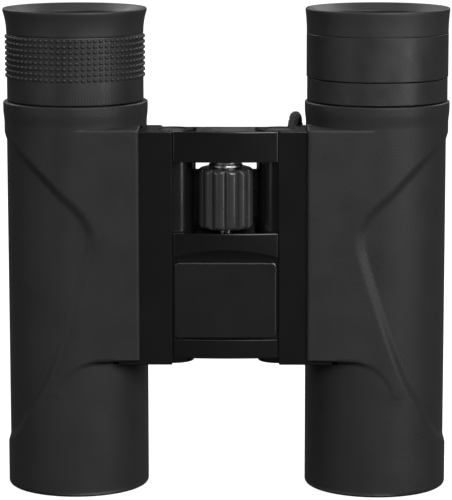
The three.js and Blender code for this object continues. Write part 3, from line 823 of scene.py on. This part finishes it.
# ---- Hinge pins, screws, yoke and frame ----
def slotted_pin(name, centre, shaft, head, radius):
    """A pin whose round head has a driver slot."""
    outer = head[0] if head[0] < shaft[0] else head[1]
    inner = head[1] if outer == head[0] else head[0]
    far = shaft[1] if outer < shaft[1] else shaft[0]
    pin = turned(name, [(0, far, 0), (1.9, far, 0.2), (1.9, inner, 0), (radius, inner, 0.1),
                        (radius, outer, 0.25), (0, outer, 0)], centre, 64)
    deep = sorted((outer + (0.5 if outer == head[0] else -0.5), outer + (-1 if outer == head[0] else 1)))
    slot = box("driver_slot", (centre[0] - 5, centre[0] + 5), (centre[1] - 0.35, centre[1] + 0.35), deep)
    return cut(pin, slot)


for name, side in SIDES.items():
    for which in ("upper", "lower"):
        node = f"{name}_{which}_hinge_pin"
        low, high = extent(node, Z)
        if which == "upper":
            shaft, head = (low, high - 0.3), (high - 1, high)
        else:
            shaft, head = (low + 0.3, high), (low, low + 1)
        pin = slotted_pin(f"{name}_{which}_pin_turned", (side * HINGE_X, HINGE_Y), shaft, head, 3.0)
        piece(pin, "bridge", "black_metal", node)


def cross_screw(name, x, z, tip, face):
    """A countersunk screw along Y with a cross recess in its face at the back."""
    profile = rounded([(0, tip, 0), (0.8, tip, 0.1), (0.8, face - 0.9, 0), (1.45, face - 0.35, 0),
                       (1.45, face, 0.12), (0, face, 0)])
    sections = [[(x + r * math.cos(a), y, z + r * math.sin(a)) for r, y in profile]
                for a in np.linspace(0, 2 * math.pi, 48, endpoint=False)]
    screw = loft(name, sections, ring=True)
    deep = (face - 0.45, face + 1)
    return cut(screw, box("slot", (x - 0.9, x + 0.9), deep, (z - 0.16, z + 0.16)),
               box("slot", (x - 0.16, x + 0.16), deep, (z - 0.9, z + 0.9)))


for number in (1, 2, 3):
    node = f"cover_screw_{number}"
    tip, face = extent(node, Y)
    screw = cross_screw(f"cross_screw_{number}", middle(node, X), middle(node, Z), tip, face)
    piece(screw, "bridge", "steel", node)

keep("bridge_frame", "satin_black", 0.25)
keep("focus_yoke", "brass", 0.15)
for name in SIDES:
    keep(f"{name}_yoke_pin", "steel", 0.1)


# ---- Floor, lights and surroundings ----
def paper():
    """White where the camera sees it, and dark to the object, like a cut-out on black flock."""
    material = bpy.data.materials.new("paper")
    material.use_nodes = True
    nodes, links = material.node_tree.nodes, material.node_tree.links
    dark = nodes["Principled BSDF"]
    dark.inputs["Base Color"].default_value = (*grey(0.05), 1)
    dark.inputs["Roughness"].default_value = 0.9
    pale = nodes.new("ShaderNodeBsdfDiffuse")
    pale.inputs["Color"].default_value = (*grey(0.35), 1)
    lit = nodes.new("ShaderNodeEmission")
    lit.inputs["Strength"].default_value = 0.86
    both = nodes.new("ShaderNodeAddShader")
    links.new(pale.outputs["BSDF"], both.inputs[0])
    links.new(lit.outputs["Emission"], both.inputs[1])
    seen = nodes.new("ShaderNodeLightPath")
    mix = nodes.new("ShaderNodeMixShader")
    links.new(seen.outputs["Is Camera Ray"], mix.inputs["Fac"])
    links.new(dark.outputs["BSDF"], mix.inputs[1])
    links.new(both.outputs["Shader"], mix.inputs[2])
    links.new(mix.outputs["Shader"], nodes["Material Output"].inputs["Surface"])
    return material


floor = mesh_object("floor", [(-9000, -9000, -0.02), (9000, -9000, -0.02), (9000, 9000, -0.02),
                              (-9000, 9000, -0.02)], [(0, 1, 2, 3)])
floor.data.materials.append(paper())


def softbox(name, azimuth, elevation, distance, width, height, power):
    """An area light that faces the object. Azimuth 0 is the camera's side, and 90 is its right."""
    light = bpy.data.objects.new(name, bpy.data.lights.new(name, "AREA"))
    light.data.shape = "RECTANGLE"
    light.data.size, light.data.size_y = width, height
    light.data.energy = power
    a, e = math.radians(azimuth), math.radians(elevation)
    way = Vector((math.sin(a) * math.cos(e), -math.cos(a) * math.cos(e), math.sin(e)))
    target = Vector((0, 0, 0.055))
    light.location = target + way * distance
    light.rotation_euler = (-way).to_track_quat("-Z", "Y").to_euler()
    bpy.context.scene.collection.objects.link(light)


softbox("front", 23, 28, 1.5, 0.9, 0.7, 25)
softbox("key", 52, 14, 0.55, 0.07, 0.5, 1.3)
softbox("fill", -46, 14, 0.55, 0.07, 0.5, 0.35)
softbox("side", -70, 20, 1.5, 0.6, 0.8, 3.5)
softbox("top", 0, 80, 1.5, 0.9, 0.7, 9)
softbox("back", 180, 24, 1.8, 1.0, 0.4, 1.2)
softbox("rear_left", -142, 35, 1.6, 0.8, 0.8, 9)
softbox("rear_right", 142, 35, 1.6, 0.8, 0.8, 9)

world = bpy.data.worlds.new("studio")
bpy.context.scene.world = world
world.use_nodes = True
nodes, links = world.node_tree.nodes, world.node_tree.links
room = nodes["Background"]
room.inputs["Color"].default_value = (1, 1, 1, 1)
room.inputs["Strength"].default_value = 0.05
backdrop = nodes.new("ShaderNodeBackground")
backdrop.inputs["Strength"].default_value = 1.0
seen = nodes.new("ShaderNodeLightPath")
mix = nodes.new("ShaderNodeMixShader")
links.new(seen.outputs["Is Camera Ray"], mix.inputs["Fac"])
links.new(room.outputs["Background"], mix.inputs[1])
links.new(backdrop.outputs["Background"], mix.inputs[2])
links.new(mix.outputs["Shader"], nodes["World Output"].inputs["Surface"])
bpy.context.scene.view_settings.view_transform = "Standard"
